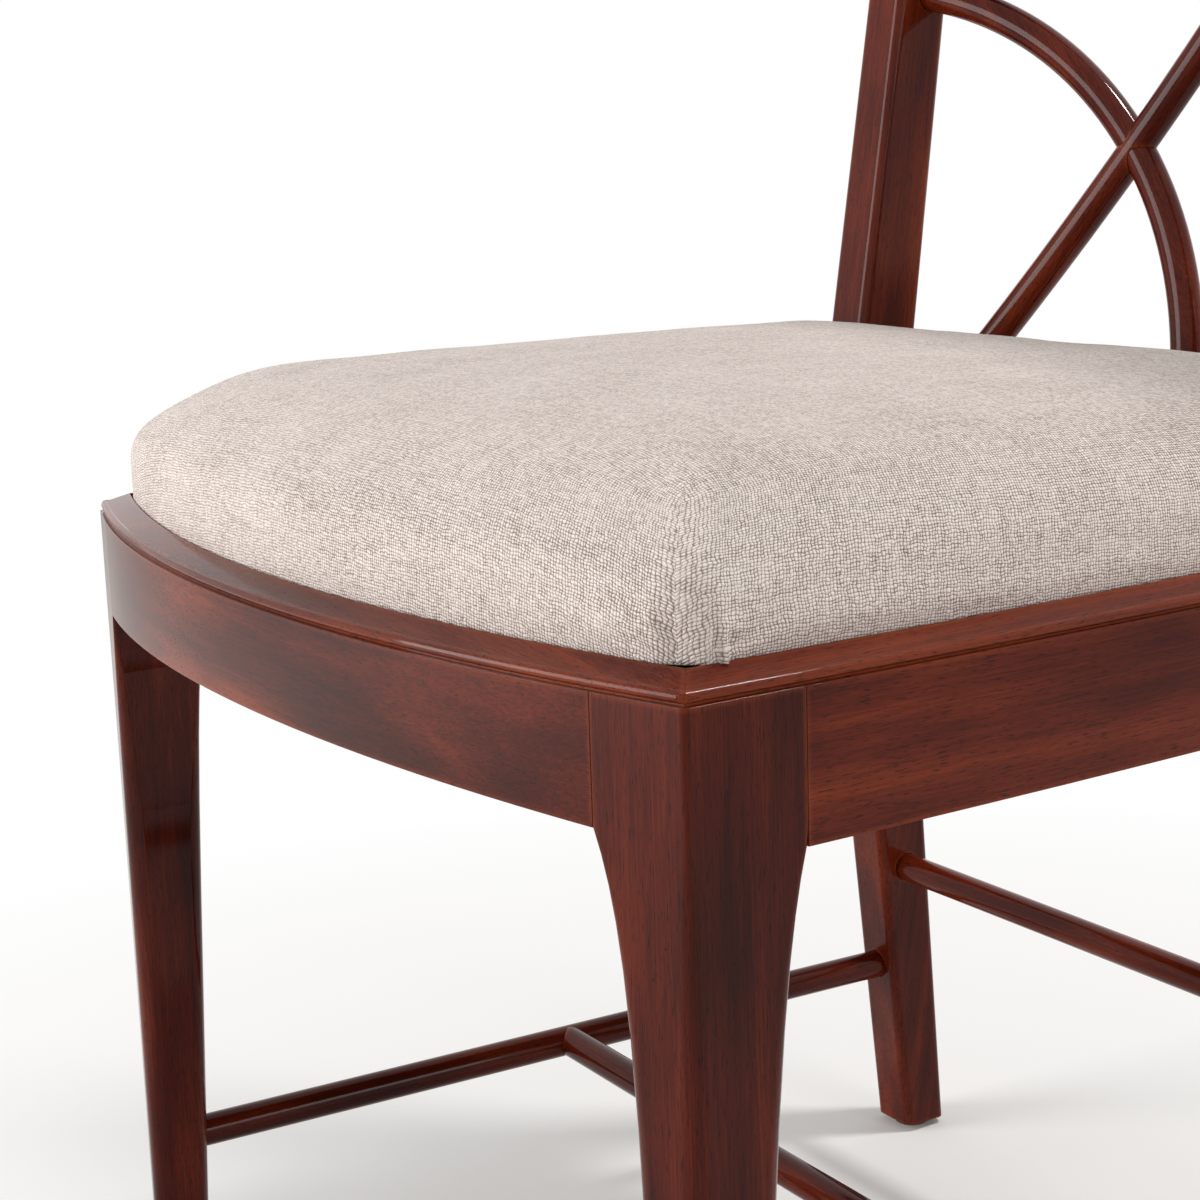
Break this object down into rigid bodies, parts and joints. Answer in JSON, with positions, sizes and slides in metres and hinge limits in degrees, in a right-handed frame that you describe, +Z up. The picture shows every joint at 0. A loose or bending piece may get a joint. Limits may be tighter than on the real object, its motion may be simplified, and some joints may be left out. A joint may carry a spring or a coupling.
{
  "type": "side chair",
  "caption": "Mahogany dining side chair with a bowed front rail, upholstered drop-in seat, tapered legs and a raked open trellis back.",
  "frame": {"origin": "on the floor, under the middle of the chair's bounding box", "axes": "+X towards the sitter's left, -Y out of the front of the seat, +Z up"},
  "size_m": [0.5, 0.6022, 0.9329],
  "materials": {
    "mahogany": "satin lacquer, dark red-brown",
    "beech": "raw",
    "plywood": "raw",
    "upholstery": "coarse beige weave",
    "lining": "thin black weave",
    "screw_steel": "zinc plated",
    "glide_nylon": "moulded"
  },
  "bodies": {
    "root": {"front_rail": "mahogany", "rear_rail": "mahogany", "left_side_rail": "mahogany", "right_side_rail": "mahogany", "front_left_leg": "mahogany", "front_right_leg": "mahogany", "rear_left_post": "mahogany", "rear_right_post": "mahogany", "front_rim": "mahogany", "left_rim": "mahogany", "right_rim": "mahogany", "lower_back_rail": "mahogany", "crest_rail": "mahogany", "lattice_diagonal_left": "mahogany", "lattice_diagonal_right": "mahogany", "lattice_brace_lower_left": "mahogany", "lattice_brace_lower_right": "mahogany", "lattice_brace_upper_left": "mahogany", "lattice_brace_upper_right": "mahogany", "left_side_stretcher": "mahogany", "right_side_stretcher": "mahogany", "rear_stretcher": "mahogany", "cross_stretcher": "mahogany", "front_left_corner_block": "beech", "front_right_corner_block": "beech", "rear_left_corner_block": "beech", "rear_right_corner_block": "beech", "rail_dowels": "beech", "back_dowels": "beech", "seat_board": "plywood", "seat_cushion": "upholstery", "dust_cover": "lining", "seat_screws": "screw_steel", "corner_block_screws": "screw_steel", "foot_glides": "glide_nylon"}
  },
  "joints": []
}
